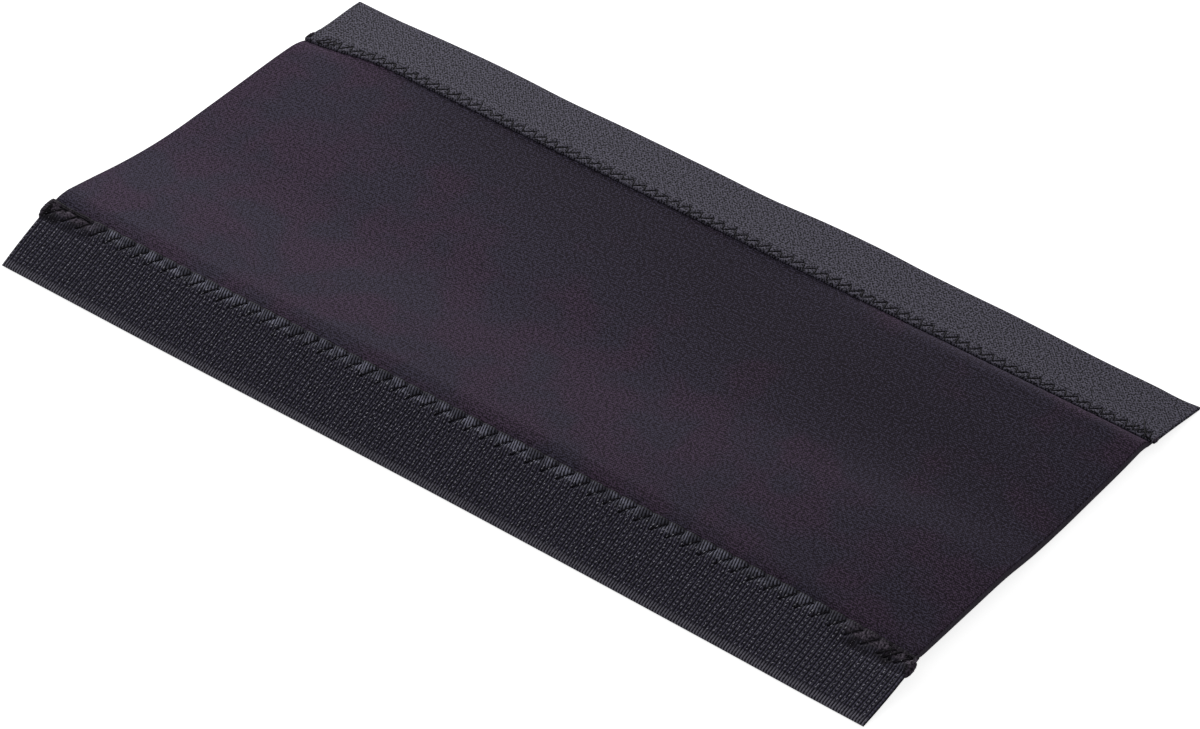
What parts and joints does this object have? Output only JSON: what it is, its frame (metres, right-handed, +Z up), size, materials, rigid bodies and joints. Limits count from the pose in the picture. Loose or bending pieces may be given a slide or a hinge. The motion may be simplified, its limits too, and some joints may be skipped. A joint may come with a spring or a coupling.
{
  "type": "chainstay protector",
  "caption": "Neoprene wrap for a bicycle chainstay, a rectangular panel with a hook tape sewn along one long edge and a loop tape along the other, laid open.",
  "frame": {"origin": "middle of the laid wrap's outline, at the height of the table it lies on", "axes": "+X along the wrap, -Y towards the hook tape, +Y towards the loop tape, +Z up through the cloth"},
  "size_m": [0.25, 0.131, 0.0101],
  "materials": {
    "neoprene_panel": "matte knitted nylon on foam rubber, dark aubergine black",
    "hook_tape": "black woven nylon with stiff hooks",
    "loop_tape": "charcoal woven nylon, matte",
    "thread": "black polyester sewing thread, slight sheen"
  },
  "bodies": {
    "root": {"neoprene_panel": "neoprene_panel", "hook_tape": "hook_tape", "loop_tape": "loop_tape", "hook_seam_needle_thread": "thread", "hook_seam_bobbin_thread": "thread", "loop_seam_needle_thread": "thread", "loop_seam_bobbin_thread": "thread"}
  },
  "joints": []
}
